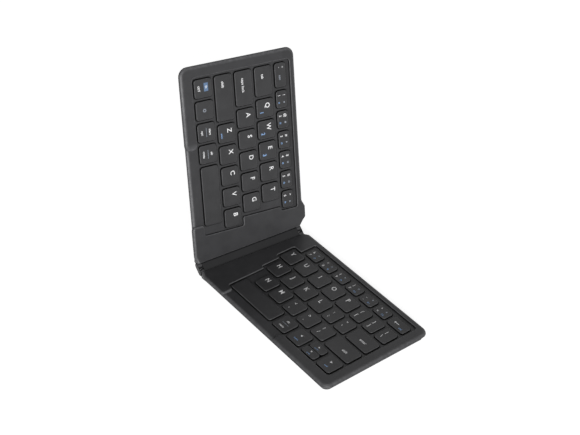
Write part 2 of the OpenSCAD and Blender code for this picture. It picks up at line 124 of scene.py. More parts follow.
def letters(keys, extra=None):
    """Cells of plain letter keys, some with a second mark."""
    extra = extra or {}
    return [
        ("key_" + k, PITCH, [(k.upper(), 0.36, 0.67, 3.8, "ink"), *extra.get(k, [])])
        for k in keys
    ]


def digits(node, plain, shifted, numbers, marks):
    """Cells of the number row: on the left a plain sign with its shifted one above it, and on the
    right a function key's name with a drawn mark above it."""
    cells = []
    for low, high, number, mark in zip(plain, shifted, numbers, marks.split()):
        left = [(low, 0.27, 0.27, 2.2, "ink"), (high, 0.27, 0.73, 2.1, "ink")]
        name = ("f%d" % number, 0.68, 0.25, 1.5, "accent")
        cells.append((node, DIGIT_PITCH, [*left, name, ("#" + mark, 0.68, 0.72, 1.6, "faint")]))
    return cells


def signs(width, pairs):
    """Cells of punctuation keys, each with its plain sign and its shifted one."""
    return [
        ("keys_punctuation", width, [(low, 0.34, 0.33, 2.9, "ink"), (high, 0.34, 0.7, 2.7, "ink")])
        for low, high in pairs
    ]


def word(node, width, text, across=0.5):
    """One cell with a key's common name on it."""
    return [(node, width, [(text, across, 0.47, 2.2, "ink")] if text else [])]


def two_words(node, width, upper, lower):
    """One cell with two words and a line between them."""
    marks = [
        (upper, 0.5, 0.72, 1.9, "ink"),
        ("#bar", 0.5, 0.5, 7.0, "faint"),
        (lower, 0.5, 0.27, 1.9, "ink"),
    ]
    return [(node, width, marks)]


def arrow(mark, text):
    """One arrow cell: a triangle with a small word in front of it."""
    marks = [(mark, 0.5, 0.62, 2.2, "ink"), (text, 0.5, 0.27, 1.4, "accent")]
    return [("keys_arrows", ARROW_PITCH, marks)]


NUMBER = {k: [(str(i + 1), 0.72, 0.3, 3.1, "accent")] for i, k in enumerate("qwe")}
FN_KEY = [
    ("#box", 0.45, 0.68, 3.4, "deep"),
    ("fn", 0.45, 0.7, 1.9, "ink"),
    ("ctrl", 0.48, 0.28, 2.2, "ink"),
]
ESC_KEY = [
    ("~", 0.18, 0.75, 2.0, "ink"),
    ("`", 0.18, 0.3, 2.0, "ink"),
    ("esc", 0.6, 0.48, 2.1, "faint"),
]
BACK_KEY = [("#back", 0.36, 0.52, 2.6, "ink"), ("del", 0.72, 0.3, 1.8, "accent")]
LEFT_ROWS = [
    [("key_esc", 21.8, ESC_KEY)]
    + digits(
        "keys_numbers_left", "123456", "!@#$%^", range(1, 7), "left square right pause ring up"
    ),
    word("key_tab", 25.5, "tab", 0.34) + letters("qwert", NUMBER),
    word("key_caps_lock", 29.75, "caps lock", 0.42) + letters("asdfg"),
    word("key_left_shift", 38.25, "shift", 0.21)
    + letters("zxcvb", {"z": [("undo", 0.6, 0.2, 1.4, "accent")]}),
    [("keys_modifiers_left", PITCH, FN_KEY)]
    + [("keys_modifiers_left", PITCH, [("#ring", 0.5, 0.5, 2.6, "faint")])]
    + two_words("keys_modifiers_left", PITCH, "start", "opt")
    + two_words("keys_modifiers_left", PITCH, "alt", "meta")
    + word("key_left_space", 49.4, ""),
]
RIGHT_ROWS = [
    [("key_backspace", 20.3, BACK_KEY)]
    + digits(
        "keys_numbers_right", "=-0987", "+_)(*&", range(12, 6, -1), "up down ring right pause left"
    ),
    signs(14.15, ["\\|", "]}", "[{"]) + letters("poiuy"),
    word("key_enter", 26.0, "enter", 0.55) + signs(14.1, ["'\"", ";:"]) + letters("lkjh"),
    word("key_right_shift", 29.0, "shift", 0.6) + signs(PITCH, ["/?", ".>", ",<"]) + letters("mn"),
    arrow("#right", "end")
    + [("keys_arrows", ARROW_PITCH, "pair")]
    + arrow("#left", "home")
    + two_words("keys_arrows", ARROW_PITCH, "alt", "meta")
    + word("key_right_space", 51.3, ""),
]
PAIR_MARKS = [
    [("#down", 0.5, 0.6, 1.7, "ink"), ("pg dn", 0.5, 0.24, 1.1, "accent")],
    [("#up", 0.5, 0.6, 1.7, "ink"), ("pg up", 0.5, 0.24, 1.1, "accent")],
]
ROWS = {"left": LEFT_ROWS, "right": RIGHT_ROWS}


def row_cells(row):
    """(near, far) end of each cell of a row along u: the far rim's end less the widths so far."""
    ends = KEY_FAR - np.cumsum([0.0] + [cell[1] for cell in row])
    return list(zip(ends[1:], ends[:-1]))


def row_end(row):
    """Where a row ends beside the hinge."""
    return float(row_cells(row)[-1][0])


# Stepped edge of each deck beside the hinge panel, front rows first: the rows that it follows, with
# its margin from each. Then the places of its steps, and each row's band of deck, front one first.
SNUG, LOOSE = 0.2, 1.4
EDGE_ROWS = {
    "left": [(3, SNUG), (2, LOOSE), (2, LOOSE), (0, SNUG)],
    "right": [(4, SNUG), (2, LOOSE), (1, SNUG), (0, LOOSE)],
}
DECK_EDGE = {
    side: [row_end(ROWS[side][row]) - margin for row, margin in EDGE_ROWS[side]] for side in ROWS
}
STEPS = [44.05, 61.05, 78.325]
BAND_ENDS = [10.05, 27.05, *STEPS, 95.0]
BANDS = list(zip(BAND_ENDS, BAND_ENDS[1:]))


# --- Places ---


def uv(points):
    """(X, Y) of points given along the rows: a turn by the splay angle."""
    p = np.asarray(points, float)
    c, s = math.cos(SPLAY), math.sin(SPLAY)
    return np.stack([p[..., 0] * c - p[..., 1] * s, p[..., 0] * s + p[..., 1] * c], -1)


BACK_SHIFT = -float(uv([HALF_LEN / 2, HALF_DEP / 2])[1])


def placed(points, side):
    """Points of a half's frame, or of the hinge, in millimetres, carried to the shared frame.

    The right half slides to its pivot. The left one is mirrored in X, turned about its pivot by the
    fold f and moved to the left pivot: x' = -x cos f + h sin f, z' = x sin f + h cos f, where h is
    the height above the pivot. The hinge's points are in place, and only change to metres.
    """
    p = np.asarray(points, float)
    if side == "hinge":
        return p * MM
    y = p[:, 1] + BACK_SHIFT
    if side == "right":
        return np.stack([p[:, 0] + RIGHT_PIVOT[0], y, p[:, 2]], -1) * MM
    c, s = math.cos(FOLD), math.sin(FOLD)
    height = p[:, 2] - PIVOT_Z
    x = LEFT_PIVOT[0] - p[:, 0] * c + height * s
    z = LEFT_PIVOT[2] + p[:, 0] * s + height * c
    return np.stack([x, y, z], -1) * MM


def at_height(plan, z):
    """Adds a height, one for all or one for each point, to plan points."""
    return np.column_stack([plan, np.broadcast_to(z, len(plan))])


SHARP = math.radians(35.0)
DOUBLE, NOTHING = 2e-7, 1e-8


def add_piece(name, parts, side, body, material):
    """Joins parts of a half or of the hinge, each (points, faces, edge wear and painted light), into
    one piece that rides on a body. The left half's frame is mirrored, so its faces are turned round.
    Doubled points are merged, empty faces dropped, and the piece is shaded smooth but for sharp edges."""
    points, faces, wear_and_painted_light, base = [], [], [], 0
    for part_points, part_faces, part_wear_and_painted_light in parts:
        count = len(part_points)
        points.append(np.asarray(part_points, float))
        wear_and_painted_light.append(np.broadcast_to(part_wear_and_painted_light, count))
        faces += [[base + i for i in face] for face in part_faces]
        base += count
    if side == "left":
        faces = [face[::-1] for face in faces]
    mesh = bpy.data.meshes.new(name)
    mesh.from_pydata(placed(np.concatenate(points), side).tolist(), [], faces)
    # One point attribute for edge wear and painted light: above 0 wear with a painted highlight, below
    # 0 painted shade
    layer = mesh.attributes.new("edge_wear_and_painted_light", "FLOAT", "POINT")
    layer.data.foreach_set("value", np.concatenate(wear_and_painted_light).astype(np.float32))
    piece = bpy.data.objects.new(name, mesh)
    bpy.context.scene.collection.objects.link(piece)
    bm = bmesh.new()
    bm.from_mesh(mesh)
    bmesh.ops.remove_doubles(bm, verts=bm.verts, dist=DOUBLE)
    bmesh.ops.dissolve_degenerate(bm, edges=bm.edges, dist=NOTHING)
    bm.to_mesh(mesh)
    bm.free()
    mesh.shade_smooth()
    mesh.set_sharp_from_angle(angle=SHARP)
    mesh.materials.append(material)
    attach(piece, body)
    return piece


# --- Outlines and profiles ---

ARC, LIP_ARC = 6, 3  # steps of a corner's arc and of a lip's
LEAST_R, LEDGE = 0.03, 0.12  # least radius of a corner, and the flat border inside a rounding
LIP_MARGIN, LIP_STEP = 0.1, 0.05  # flat margin round a window's lip, and the wall's step below it
FAR_OUT = 1e4  # past any border
OPEN_RUB_AND_HIGHLIGHT, SHADE_FADE = 0.75, 3  # edge wear with a painted highlight where an edge has no crease shade, and fading of the painted crease shade


def rounded_ring(corners, radii, offsets):
    """Closed outline with each edge shifted inwards by its own offset and each corner rounded.

    A shifted corner is where its two shifted edges cross. Its arc has the corner's radius, less the
    mean shift where the outline bulges and plus it where it is hollow, and touches both edges. Also
    gives for each point the edge before it, the edge after it and the share of the way between.
    """
    corners = np.asarray(corners, float)
    along = np.roll(corners, -1, 0) - corners
    along /= np.linalg.norm(along, axis=1)[:, None]
    start = corners + np.stack([-along[:, 1], along[:, 0]], -1) * offsets[:, None]
    share = np.linspace(0, 1, ARC + 1)
    ring = []
    for i in range(len(corners)):
        d0, d1, gap = along[i - 1], along[i], start[i] - start[i - 1]
        cross = d0[0] * d1[1] - d0[1] * d1[0]
        crossing = start[i - 1] + d0 * (gap[0] * d1[1] - gap[1] * d1[0]) / cross
        turn = math.atan2(cross, float(d0 @ d1))
        way = math.copysign(1, turn)
        r = max(radii[i] - way * (offsets[i] + offsets[i - 1]) / 2, LEAST_R)
        centre = crossing - d0 * r * math.tan(abs(turn) / 2) + way * r * np.array([-d0[1], d0[0]])
        angle = math.atan2(-way * d0[0], way * d0[1]) + turn * share
        ring.append(centre + r * np.stack([np.cos(angle), np.sin(angle)], -1))
    count = len(corners)
    after = np.repeat(np.arange(count), ARC + 1)
    return np.concatenate(ring), (after - 1) % count, after, np.tile(share, count)


def ring_faces(rings, count):
    """Quads between stacked rings of count points, each ring above or inside the last."""
    i = np.arange(count)
    j = (i + 1) % count
    base = np.arange(rings - 1)[:, None] * count
    quads = np.stack([base + i, base + j, base + count + j, base + count + i], -1)
    return quads.reshape(-1, 4).tolist()


def stacked(rings, last=True, first=True):
    """Points and faces of stacked rings, with a flat face over the last and under the first."""
    count = len(rings[0])
    faces = ring_faces(len(rings), count)
    if last:
        faces.append(list(range((len(rings) - 1) * count, len(rings) * count)))
    if first:
        faces.append(list(range(count))[::-1])
    return np.concatenate(rings), faces


def undercut(z):
    """How far the undercut reaches in at a height: a straight slope from TAPER_IN at the underside
    to nothing at TAPER_TOP."""
    return TAPER_IN * np.maximum(1 - np.asarray(z, float) / TAPER_TOP, 0)


def moulded_form(entries, top, foot, closed=True, steps=7):
    """Closed moulding with a rounded upper edge: a quarter ellipse carried along an outline.

    An entry is a corner, its radius, the rounding (width w, height h, crease shade) of the edge after
    it, and 1 if that edge is undercut. At angle a of the quarter turn the outline is shifted in by
    w (1 - cos a) and lies h (1 - sin a) below the top; below that an undercut edge slopes in to the
    foot. From one edge to the next, h eases round the corner. Flat faces close the foot and, where
    asked, the top. Edge wear with a painted highlight goes with the square of sin 2a. Where crease
    shade is 1, the wall below the rounding carries painted shade, which fades to nothing over the
    lower two thirds of the turn.
    """
    corners = np.array([entry[0] for entry in entries], float)
    radii = [entry[1] for entry in entries]
    width, height, crease_shading, tucked = np.array([(*entry[2], entry[3]) for entry in entries], float).T
    start = tucked * undercut(top - height)
    ring, before, after, share = rounded_ring(corners, radii, tucked * undercut(foot))
    ease = share * share * (3 - 2 * share)
    drop = height[before] * (1 - ease) + height[after] * ease
    shade = crease_shading[before] * (1 - ease) + crease_shading[after] * ease
    rings, wear_and_painted_light = [at_height(ring, foot)], [-shade]
    for a in np.linspace(0, math.pi / 2, steps + 1):
        plan = rounded_ring(corners, radii, start + width * (1 - math.cos(a)))[0]
        rings.append(at_height(plan, top - drop * (1 - math.sin(a))))
        # Above 0, edge wear with a painted highlight; below 0, painted shade in a crease
        rub_and_highlight = math.sin(2 * a) ** 2 * (OPEN_RUB_AND_HIGHLIGHT + (1 - OPEN_RUB_AND_HIGHLIGHT) * shade)
        wear_and_painted_light.append(rub_and_highlight - shade * max(SHADE_FADE - SHADE_FADE * a, 0))
    rings.append(at_height(rounded_ring(corners, radii, start + width + LEDGE)[0], top))
    wear_and_painted_light.append(0 * shade)
    return *stacked(rings, last=closed), np.concatenate(wear_and_painted_light)


def rounded_rectangle(u0, u1, v0, v1, r):
    """Anticlockwise rectangle with round corners, and the outward direction at each point."""
    r = min(r, (u1 - u0) / 2 - 1e-3, (v1 - v0) / 2 - 1e-3)
    quarter = np.linspace(0, math.pi / 2, ARC + 1)
    points, normals = [], []
    for cu, cv, turn in [(u1, v0, -0.5), (u1, v1, 0.0), (u0, v1, 0.5), (u0, v0, 1.0)]:
        a = quarter + turn * math.pi
        normal = np.stack([np.cos(a), np.sin(a)], -1)
        inset = [r if cu == u0 else -r, r if cv == v0 else -r]
        points.append(np.array([cu, cv]) + inset + r * normal)
        normals.append(normal)
    normals = np.concatenate(normals)
    normals[np.abs(normals) < 1e-9] = 0
    return np.concatenate(points), normals


def opening(rectangle, low, high, margin, lip):
    """Levels from a wall into an opening, each (outline, depth): the opening's outline pushed far
    out and held within low and high, a flat margin, and the quarter circle of a lip, which at angle
    a lies lip (1 - sin a) out and lip (1 - cos a) deep. Also gives the opening's own outline."""
    ring, normal = rounded_rectangle(*rectangle)
    levels = [(np.clip(ring + normal * FAR_OUT, low, high), 0.0), (ring + normal * margin, 0.0)]
    for a in np.linspace(0, math.pi / 2, LIP_ARC + 1):
        levels.append((ring + normal * lip * (1 - math.sin(a)), lip * (1 - math.cos(a))))
    return levels, ring


def window_tile(cell, window, lip):
    """A cell of deck with its window, as rings from the cell's border inwards and down: past the
    lip the wall drops to the deck's underside, where a last ring runs back out. The lip and all
    below it carry painted shade."""
    rectangle = (*window, KEY_R + CLEARANCE)
    levels, ring = opening(rectangle, cell[::2], cell[1::2], lip + LIP_MARGIN, lip)
    levels += [(ring, lip + LIP_STEP), (ring, DECK_T), (levels[0][0], DECK_T)]
    rings = [at_height(uv(plan), DECK_Z - drop) for plan, drop in levels]
    # Painted shade: fading in over the margin round the lip, full on the lip and the wall below it
    wear_and_painted_light = [0, -0.5] + [-1] * (len(rings) - 2)
    return *stacked(rings, last=False, first=False), np.repeat(wear_and_painted_light, len(ring))


def port_wall(u0, u1, z1):
    """The ear's flat back wall from u0 to u1 with the charging port's mouth in it: rings from the
    wall's border in to the mouth, round its lip and along its tunnel to a flat end."""
    rectangle = (-PORT[1], -PORT[0], PORT[2], PORT[3], PORT_R)
    levels, ring = opening(rectangle, (-u1, FLOOR), (-u0, z1), PORT_MARGIN, PORT_LIP)
    rings = []
    for wall, depth in [*levels, (ring, PORT_DEPTH)]:
        plan = np.column_stack([-wall[:, 0], np.full(len(wall), HALF_DEP + EAR_H - depth)])
        rings.append(at_height(uv(plan), wall[:, 1]))
    return *stacked(rings, first=False), 0.0


def deck_plate(u0, u1, v0, v1):
    """A plain rectangle of deck along the rows."""
    plan = uv([[u0, v0], [u1, v0], [u1, v1], [u0, v1]])
    return at_height(plan, DECK_Z), [[0, 1, 2, 3]], 0.0


# --- Keys ---


def half_keys(side):
    """Every key of a half as (node, cell, face, legends); cells and faces are (u0, u1, v0, v1)."""
    for row, v, dep, band in zip(ROWS[side], ROW_V, ROW_DEP, BANDS[::-1]):
        for (node, _, legends), (near, far) in zip(row, row_cells(row)):
            face = (near + KEY_GAP / 2, far - KEY_GAP / 2, v - dep / 2, v + dep / 2)
            yield node, (near, far, *band), face, legends


def half_caps(side):
    """Every cap of a half as (node, face, legends): one for a key, and two for a stacked pair."""
    for node, _, face, legends in half_keys(side):
        if legends == "pair":
            u0, u1, v0, v1 = face
            middle = (v0 + v1) / 2
            yield node, (u0, u1, v0, middle - PAIR_GAP / 2), PAIR_MARKS[0]
            yield node, (u0, u1, middle + PAIR_GAP / 2, v1), PAIR_MARKS[1]
        else:
            yield node, face, legends


def dish_depth(inset, face, sizes):
    """How far the dished top lies below the key's highest ring: an ease s s (3 - 2 s), s being the
    share of the way from the rounded edge in to the dish's flat middle."""
    reach = DISH_REACH * min(face[1] - face[0], face[3] - face[2])
    start = sizes.edge_round / MM
    share = np.clip((inset - start) / (reach - start), 0, 1)
    return sizes.dish / MM * share * share * (3 - 2 * share)


def key_cap(face, sizes):
    """A key's hollow cap: rounded rectangles down the inside of its wall from the hollow's roof, up
    its outside, round its edge and over its dished top. At angle a of the quarter turn a ring is
    shifted in by r (1 - cos a), lies r (1 - sin a) below the top and carries edge wear with a
    painted highlight by sin 2a. Further in it follows the dish, and below the edge all carries
    painted shade."""
    u0, u1, v0, v1 = face
    r = sizes.edge_round / MM
    reach = DISH_REACH * min(u1 - u0, v1 - v0)
    quarter = np.linspace(0, math.pi / 2, 6)
    dished = r + (reach - r) * DISH_STEPS
    dish = dish_depth(dished, face, sizes)
    foot = KEY_TOP - KEY_BASE
    insets = [CAP_WALL, CAP_WALL, 0.0, 0.0, *(r * (1 - np.cos(quarter))), *dished]
    drops = [CAP_WALL, foot, foot, r + CAP_SHOULDER, *(r * (1 - np.sin(quarter))), *dish]
    # The walls carry painted shade, and the rounded edge wear with a painted highlight
    wear_and_painted_light = [-1, -1, -1, -1, *np.sin(2 * quarter), *(0 * dish)]
    rings = []
    for inset, drop in zip(insets, drops):
        corner = max(KEY_R - inset, CAP_LEAST_R)
        ring = rounded_rectangle(u0 + inset, u1 - inset, v0 + inset, v1 - inset, corner)[0]
        rings.append(at_height(uv(ring), KEY_TOP - drop))
    return *stacked(rings), np.repeat(wear_and_painted_light, len(rings[0]))


CAP_SHARE, SWELL = 0.729, 0.014  # height of the font's capitals, and how far its ink spreads


def bar(x0, x1, y0, y1):
    """Corners of a rectangle."""
    return [(x0, y0), (x1, y0), (x1, y1), (x0, y1)]


def drawn(*outlines):
    """A drawn mark in a box 1 high: the points of its outlines, and a face inside each."""
    ends = np.cumsum([0, *map(len, outlines)])
    faces = [list(range(first, past)) for first, past in zip(ends, ends[1:])]
    return np.concatenate(outlines).astype(float), faces


def box_mark(half_width, columns, rows):
    """A filled box 1 high, as a grid, so that it follows a dished top."""
    across, up = np.linspace(-half_width, half_width, columns + 1), np.linspace(0, 1, rows + 1)
    x, y = np.meshgrid(across, up)
    start = (np.arange(rows)[:, None] * (columns + 1) + np.arange(columns)).ravel()
    faces = np.stack([start, start + 1, start + columns + 2, start + columns + 1], -1)
    return np.column_stack([x.ravel(), y.ravel()]), faces.tolist()


def ring_mark():
    """A ring 1 high: two circles about one middle, the inner one 0.6 as wide."""
    count = 24
    turn = np.linspace(0, 2 * math.pi, count + 1)[:-1]
    circle = np.stack([np.cos(turn), np.sin(turn)], -1) / 2
    return np.concatenate([circle, circle * 0.6]) + [0, 0.5], ring_faces(2, count)


MARKS = {
    "#left": drawn([(-0.42, 0.5), (0.42, 0), (0.42, 1)]),
    "#right": drawn([(0.42, 0.5), (-0.42, 1), (-0.42, 0)]),
    "#up": drawn([(-0.5, 0.08), (0.5, 0.08), (0, 0.92)]),
    "#down": drawn([(-0.5, 0.92), (0, 0.08), (0.5, 0.92)]),
    "#square": drawn(bar(-0.42, 0.42, 0.08, 0.92)),
    "#bar": drawn(bar(-0.5, 0.5, 0.48, 0.52)),
    "#box": box_mark(0.95, 8, 4),
    "#ring": ring_mark(),
    "#pause": drawn(bar(-0.4, -0.12, 0, 1), bar(0.12, 0.4, 0, 1)),
    "#back": drawn([(-1, 0.5), (-0.4, 0.1), (-0.4, 0.9)], bar(-0.4, 1, 0.4, 0.6)),
}


@functools.cache
def glyph(text):
    """Flat mesh of a text with capitals CAP_SHARE high, its middle at x = 0, its line at y = 0."""
    if text in MARKS:
        points, faces = MARKS[text]
        return points * CAP_SHARE, faces
    curve = bpy.data.curves.new("glyph", "FONT")
    curve.body = text
    curve.offset = SWELL
    curve.resolution_u = 4
    holder = bpy.data.objects.new("glyph", curve)
    bpy.context.scene.collection.objects.link(holder)
    bpy.context.view_layer.update()
    settled = holder.evaluated_get(bpy.context.evaluated_depsgraph_get())
    mesh = bpy.data.meshes.new_from_object(settled)
    points = np.zeros(len(mesh.vertices) * 3)
    mesh.vertices.foreach_get("co", points)
    points = points.reshape(-1, 3)[:, :2]
    faces = [list(face.vertices) for face in mesh.polygons]
    bpy.data.objects.remove(holder)
    bpy.data.curves.remove(curve)
    bpy.data.meshes.remove(mesh)
    points[:, 0] -= (points[:, 0].min() + points[:, 0].max()) / 2
    return points, faces


def legend_part(legend, face, side, sizes):
    """A legend laid on a key's dished top, a hair above it, and plain ink a hair above the rest.
    Shares run from the reader's left and from the front of the face."""
    text, across, up, height, ink = legend
    points, faces = glyph(text)
    points = points * height / CAP_SHARE
    u0, u1, v0, v1 = face
    v = v0 + up * (v1 - v0) - height / 2 + points[:, 1]
    if side == "right":
        u = u0 + across * (u1 - u0) + points[:, 0]
    else:
        u = u1 - across * (u1 - u0) - points[:, 0]
        faces = [f[::-1] for f in faces]
    inset = np.minimum(np.minimum(u - u0, u1 - u), np.minimum(v - v0, v1 - v))
    lift = sizes.legend_lift / MM * (2 if ink == "ink" else 1)
    z = KEY_TOP - dish_depth(inset, face, sizes) + lift
    return at_height(uv(np.stack([u, v], -1)), z), faces, 0.0


# --- Materials ---


def node_group(name, inputs, outputs):
    """An empty shader node group that takes a place and named values, and gives named values."""
    tree = bpy.data.node_groups.new(name, "ShaderNodeTree")
    tree.interface.new_socket(name="Vector", in_out="INPUT", socket_type="NodeSocketVector")
    for way, labels in (("INPUT", inputs), ("OUTPUT", outputs)):
        for label in labels:
            tree.interface.new_socket(name=label, in_out=way, socket_type="NodeSocketFloat")
    given = tree.nodes.new("NodeGroupInput").outputs
    return tree, given, tree.nodes.new("NodeGroupOutput").inputs


def put(tree, kind, links=None, values=None, **settings):
    """Adds a shader node, sets its settings and values, links its inputs and gives its outputs.
    Keys are sockets' names or numbers."""
    node = tree.nodes.new("ShaderNode" + kind)
    for key, value in settings.items():
        setattr(node, key, value)
    for key, value in (values or {}).items():
        node.inputs[key].default_value = value
    for key, source in (links or {}).items():
        tree.links.new(source, node.inputs[key])
    return node.outputs


def remap(tree, source, low, high, to_low, to_high):
    """Eases a value's stretch from low to high over to_low to to_high."""
    ends = {"From Min": low, "From Max": high, "To Min": to_low, "To Max": to_high}
    return put(tree, "MapRange", {"Value": source}, ends, interpolation_type="SMOOTHSTEP")[0]


def blend_colours(tree, mask, first, second):
    """Mixes two colours, or links that carry one, by a mask."""
    links, values = {"Factor": mask}, {}
    for socket, colour in ((6, first), (7, second)):
        if isinstance(colour, list):
            values[socket] = (*colour, 1.0)
        else:
            links[socket] = colour
    return put(tree, "Mix", links, values, data_type="RGBA")[2]


def spark_grain_group():
    """Fine moulded grain: noise and pits of one scale for height, and a slow drift for colour."""
    tree, given, result = node_group("spark_grain", ["Scale"], ["Height", "Drift"])
    links = {"Vector": given[0], "Scale": given[1]}
    fine = put(tree, "TexNoise", links, {"Detail": 3.0, "Roughness": 0.6})
    pits = put(tree, "TexVoronoi", links)
    both = put(tree, "Math", {0: fine[0], 1: pits[0]}, operation="ADD")
    tree.links.new(both[0], result[0])
    slow = put(tree, "TexNoise", {"Vector": given[0]}, {"Scale": 90.0, "Detail": 4.0})
    tree.links.new(remap(tree, slow[0], 0.35, 0.65, 0, 1), result[1])
    return tree


def rub_and_painted_highlight_group():
    """Rubbed edges with painted highlights: the pieces' edge measure, broken up by noise."""
    tree, given, result = node_group("rub_and_painted_highlight", ["Scale", "Edge"], ["Mask"])
    patchy = put(tree, "TexNoise", {"Vector": given[0], "Scale": given[1]}, {"Detail": 5.0})
    worn_and_highlit = remap(tree, patchy[0], 0.35, 0.7, 0.5, 1)
    mask = put(tree, "Math", {0: worn_and_highlit, 1: given[2]}, operation="MULTIPLY")
    tree.links.new(mask[0], result[0])
    return tree


def handling_group():
    """Slightly greasy, slightly polished patches left by hands."""
    tree, given, result = node_group("handling", ["Scale"], ["Mask"])
    links = {"Vector": given[0], "Scale": given[1]}
    wide = put(tree, "TexNoise", links, {"Detail": 2.0, "Distortion": 0.6})
    tree.links.new(remap(tree, wide[0], 0.38, 0.68, 0, 1), result[0])
    return tree


GROUPS = {}


def shared(tree, maker, links, scale):
    """Outputs of a shared node group, which its maker makes once, placed in a tree at a scale."""
    if maker not in GROUPS:
        GROUPS[maker] = maker()
    return put(tree, "Group", links, {"Scale": scale}, node_tree=GROUPS[maker])


def blank_material(name):
    """A new material, its empty tree, and the place of a point on its piece."""
    material = bpy.data.materials.new(name)
    material.use_nodes = True
    material.node_tree.nodes.clear()
    place = put(material.node_tree, "TexCoord")["Object"]
    return material, material.node_tree, place


def grained_surface(tree, skin, final, rough, bump, values):
    """Ends a tree with a shader over its skin's grain. A bump is (depth in metres, strength)."""
    depth = {"Distance": bump[0], "Strength": bump[1]}
    grain = put(tree, "Bump", {"Height": skin["Height"]}, depth)[0]
    links = {"Base Color": final, "Roughness": rough, "Normal": grain}
    shader = put(tree, "BsdfPrincipled", links, values)
    put(tree, "OutputMaterial", {0: shader[0]})


def shades(colour, drift):
    """A colour made darker and lighter by a share."""
    return [[min(part * (1 + way * drift), 1) for part in colour] for way in (-1, 1)]


# Edge wear with painted highlights: scale of its patches and how far it lightens a colour; CREASE_SHADE
# is the share of a colour left in painted crease shade
RUB_AND_HIGHLIGHT_SCALE, RUB_AND_HIGHLIGHT_GAIN, RUB_AND_HIGHLIGHT_LIFT = 420.0, 2.2, 0.02
HANDLING_SCALE, SHINE, DRIFT = 55.0, 0.025, 0.08
CREASE_SHADE, PLASTIC_BUMP = 0.12, (0.000012, 0.6)
PLAIN_SCALE, PLAIN_SPREAD, PLAIN_STRENGTH = 900.0, 0.15, 0.5
INK_ROUGHNESS, INK_DRIFT, DEEP_SHARE = 0.5, 0.05, 0.4


def moulded_plastic(name, colour, roughness, rub_and_highlight=0.35, grain=2600.0):
    """Matt moulded plastic: spark grain, a slow drift of tone, handling shine, and edge wear with
    painted highlights. Edge wear above 0 rubs an edge lighter and adds a painted highlight, and
    below 0 it blends to painted crease shade."""
    material, tree, place = blank_material(name)
    edge = put(tree, "Attribute", attribute_name="edge_wear_and_painted_light")["Fac"]
    skin = shared(tree, spark_grain_group, {"Vector": place}, grain)
    rub_highlight_mask = shared(tree, rub_and_painted_highlight_group, {"Vector": place, "Edge": edge}, RUB_AND_HIGHLIGHT_SCALE)[0]
    hands = shared(tree, handling_group, {"Vector": place}, HANDLING_SCALE)[0]
    # Edges lightened by wear and by a painted highlight
    worn_and_highlit = [min(part * (1 + RUB_AND_HIGHLIGHT_GAIN * rub_and_highlight) + RUB_AND_HIGHLIGHT_LIFT * rub_and_highlight, 1) for part in colour]
    final = blend_colours(tree, skin["Drift"], *shades(colour, DRIFT))
    final = blend_colours(tree, rub_highlight_mask, final, worn_and_highlit)
    # Painted shade where the edge measure is below 0: creases, walls and lips
    painted_crease_shade = remap(tree, edge, -1, 0, 1, 0)
    final = blend_colours(tree, painted_crease_shade, final, [part * CREASE_SHADE for part in colour])
    rough = remap(tree, hands, 0, 1, roughness + SHINE, roughness - SHINE)
    gloss = {"IOR": 1.5, "Specular IOR Level": 0.25}
    grained_surface(tree, skin, final, rough, PLASTIC_BUMP, gloss)
    return material


def plain_finish(name, colour, roughness, metallic=0.0, depth=0.00001, drift=0.15):
    """A simple finish with its own grain: metal, rubber, board or printed ink."""
    material, tree, place = blank_material(name)
    skin = shared(tree, spark_grain_group, {"Vector": place}, PLAIN_SCALE)
    final = blend_colours(tree, skin["Drift"], *shades(colour, drift))
    gloss, matt = roughness * (1 - PLAIN_SPREAD), min(roughness * (1 + PLAIN_SPREAD), 1)
    rough = remap(tree, skin["Drift"], 0, 1, gloss, matt)
    grained_surface(tree, skin, final, rough, (depth, PLAIN_STRENGTH), {"Metallic": metallic})
    return material


PLAIN_FINISHES = {
    "steel": ((0.5, 0.5, 0.52), 0.32, 1.0),
    "black_steel": ((0.03, 0.03, 0.032), 0.42),
    "rubber": ((0.022, 0.022, 0.023), 0.8, 0.0, 0.00004),
    # The switch film is near black: painted shade for what shows through the gaps round the keys
    "switch_film_painted_shade": ((0.012, 0.012, 0.013), 0.6),
    "board_mask": ((0.02, 0.12, 0.05), 0.35),
    "cell_foil": ((0.42, 0.44, 0.47), 0.35, 0.6),
}
MATERIALS = {}


def finish_for(name, context):
    """The named finish, made once. The plastics and the inks take the scene's colours."""
    c = context.scene.keyboard_finish
    # The third value of a plastic sets its edge wear and painted highlight
    plastics = {
        "case_plastic": (c.case_colour, 0.36, 1.0),
        "key_plastic": (c.key_colour, 0.38, 0.45, 3200.0),
        "spine_plastic": (c.spine_colour, 0.4),
    }
    inks = {"ink": c.ink_colour, "accent": c.accent_colour, "faint": c.faint_colour}
    inks["deep"] = [DEEP_SHARE * part for part in c.accent_colour]
    if name not in MATERIALS:
        if name in plastics:
            MATERIALS[name] = moulded_plastic(name, *plastics[name])
        elif name in inks:
            MATERIALS[name] = plain_finish(name, inks[name], INK_ROUGHNESS, drift=INK_DRIFT)
        else:
            MATERIALS[name] = plain_finish(name, *PLAIN_FINISHES[name])
    return MATERIALS[name]


def dress(node, name, context):
    """Gives a CAD node that stays one of the finishes."""
    materials = frame["nodes"][node].data.materials
    materials.clear()
    materials.append(finish_for(name, context))


# --- Settings ---


def length(name, description, default):
    """A length property, in metres."""
    kind = {"min": 0.0, "unit": "LENGTH", "subtype": "DISTANCE", "precision": 5}
    return FloatProperty(name=name, description=description, default=default, **kind)


def colour(name, description, default):
    """A colour property."""
    kind = {"size": 3, "min": 0.0, "max": 1.0, "subtype": "COLOR"}
    return FloatVectorProperty(name=name, description=description, default=default, **kind)


